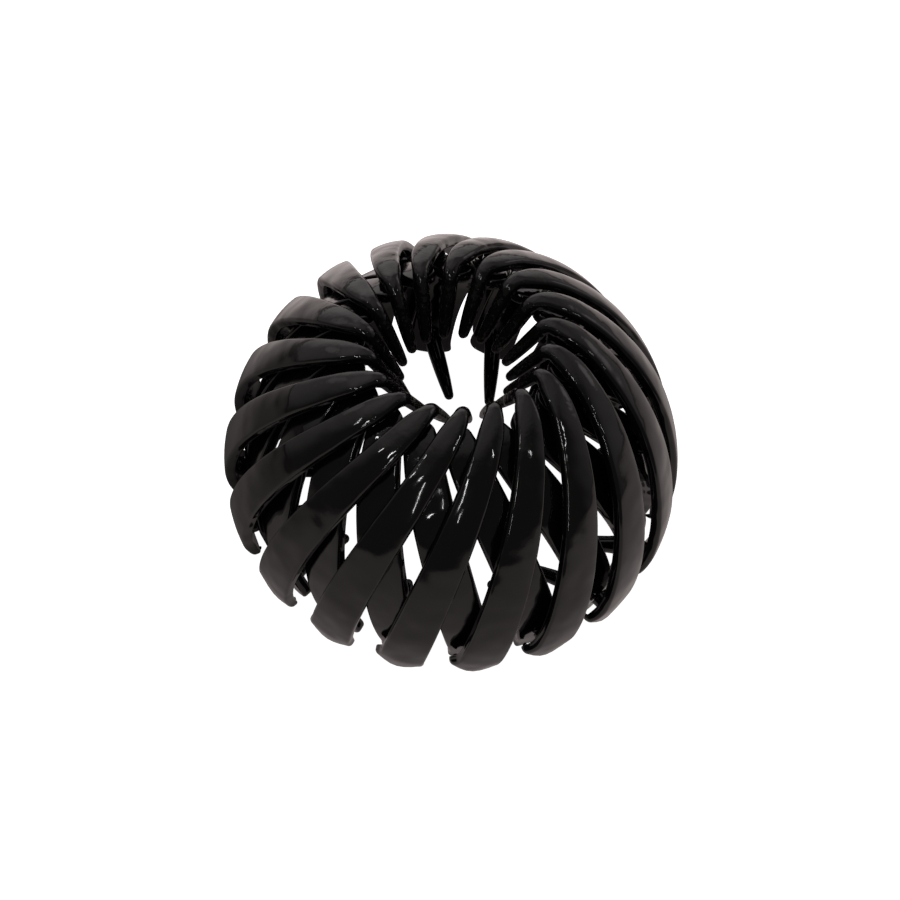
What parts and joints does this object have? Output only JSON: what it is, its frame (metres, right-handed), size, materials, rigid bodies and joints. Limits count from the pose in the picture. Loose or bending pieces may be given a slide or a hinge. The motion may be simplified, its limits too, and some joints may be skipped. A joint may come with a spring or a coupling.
{
  "type": "expanding bun clip",
  "caption": "Closed dome-shaped ring of crossed, riveted plastic slats with inward teeth at the crown and near the feet, worn around a bun of hair.",
  "frame": {"origin": "on the ring's axis, level with the lowest corners of the outer slats' feet", "axes": "+Z is the ring's axis, from the open foot side up to the crown opening; the ring repeats every 20 degrees round it, and outer_strip_01's foot is on +X"},
  "size_m": [0.0848, 0.0848, 0.0495],
  "materials": {
    "plastic": "high gloss moulded black"
  },
  "bodies": {
    "root": {"outer_strip_01": "plastic", "outer_strip_02": "plastic", "outer_strip_03": "plastic", "outer_strip_04": "plastic", "outer_strip_05": "plastic", "outer_strip_06": "plastic", "outer_strip_07": "plastic", "outer_strip_08": "plastic", "outer_strip_09": "plastic", "outer_strip_10": "plastic", "outer_strip_11": "plastic", "outer_strip_12": "plastic", "outer_strip_13": "plastic", "outer_strip_14": "plastic", "outer_strip_15": "plastic", "outer_strip_16": "plastic", "outer_strip_17": "plastic", "outer_strip_18": "plastic", "inner_strip_01": "plastic", "inner_strip_02": "plastic", "inner_strip_03": "plastic", "inner_strip_04": "plastic", "inner_strip_05": "plastic", "inner_strip_06": "plastic", "inner_strip_07": "plastic", "inner_strip_08": "plastic", "inner_strip_09": "plastic", "inner_strip_10": "plastic", "inner_strip_11": "plastic", "inner_strip_12": "plastic", "inner_strip_13": "plastic", "inner_strip_14": "plastic", "inner_strip_15": "plastic", "inner_strip_16": "plastic", "inner_strip_17": "plastic", "inner_strip_18": "plastic"}
  },
  "joints": []
}
